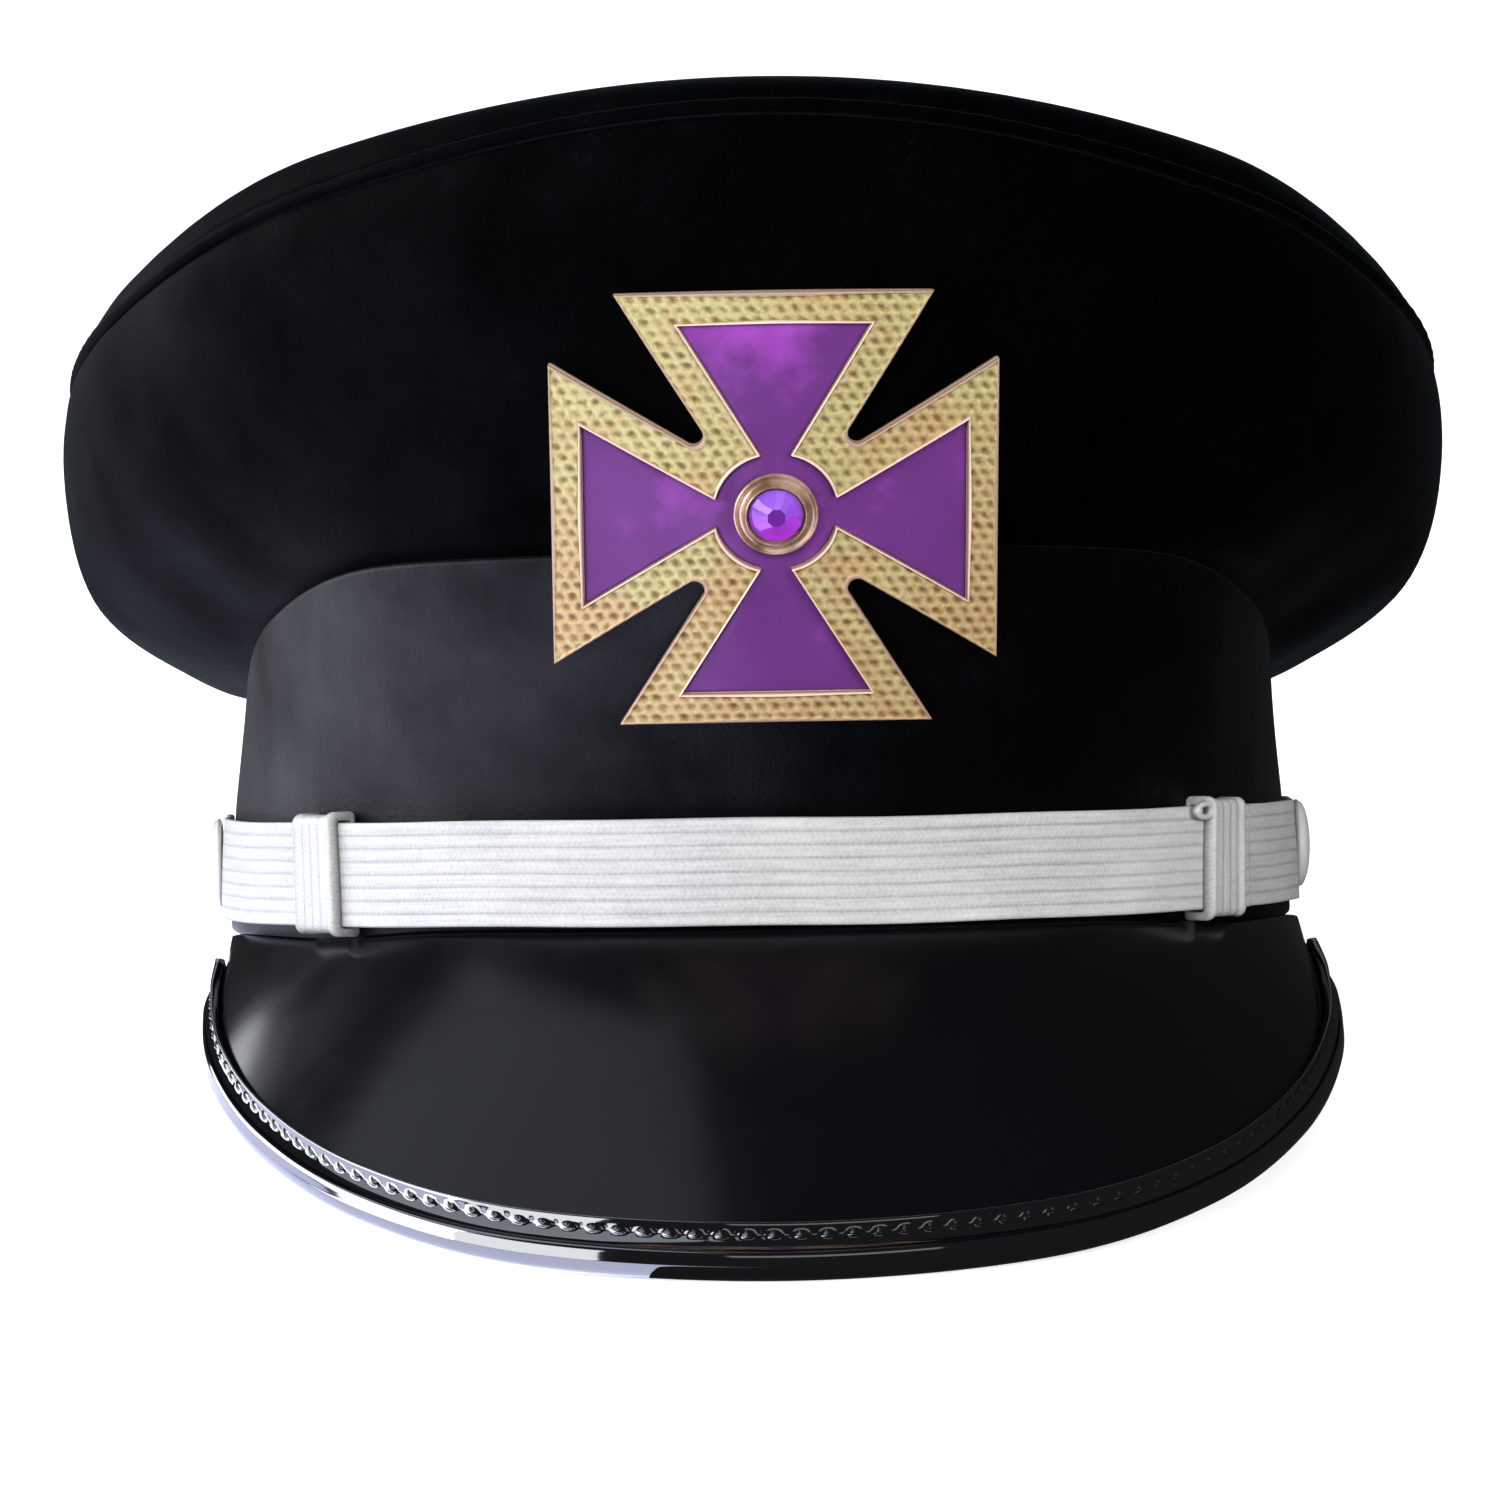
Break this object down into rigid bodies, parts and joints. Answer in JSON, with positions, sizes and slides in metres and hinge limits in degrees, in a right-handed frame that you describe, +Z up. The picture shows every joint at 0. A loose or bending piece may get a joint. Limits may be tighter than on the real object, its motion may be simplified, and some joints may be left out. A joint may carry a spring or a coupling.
{
  "type": "fatigue cap",
  "caption": "Peaked uniform cap with a puffed cloth crown over a stiff oval band, a bound glossy peak, a braided chin strap between side buttons and a jewelled cross badge.",
  "frame": {"origin": "middle of the bounding box at its base, on the surface that the cap stands on", "axes": "+Z up from that surface, -Y towards the cap's front and its peak, +X towards the right of someone who faces the badge"},
  "size_m": [0.2228, 0.2926, 0.1624],
  "materials": {
    "wool_cloth": "napped black wool",
    "patent_leather": "high gloss patent",
    "silver_braid": "woven metallic silver braid",
    "silver_metal": "satin silver",
    "gold_bullion": "textured gold bullion",
    "purple_inlay": "glossy purple",
    "copper_gold": "polished",
    "violet_stone": "faceted"
  },
  "bodies": {
    "root": {"crown_side": "wool_cloth", "crown_top": "wool_cloth", "crown_welt": "wool_cloth", "band": "wool_cloth", "visor": "patent_leather", "visor_binding": "patent_leather", "strap_outer": "silver_braid", "strap_inner": "silver_braid", "keeper_left": "silver_braid", "keeper_right": "silver_braid", "side_button_left": "silver_metal", "side_button_right": "silver_metal", "badge_border": "gold_bullion", "badge_inlay": "purple_inlay", "jewel_setting": "copper_gold", "jewel": "violet_stone"}
  },
  "joints": []
}
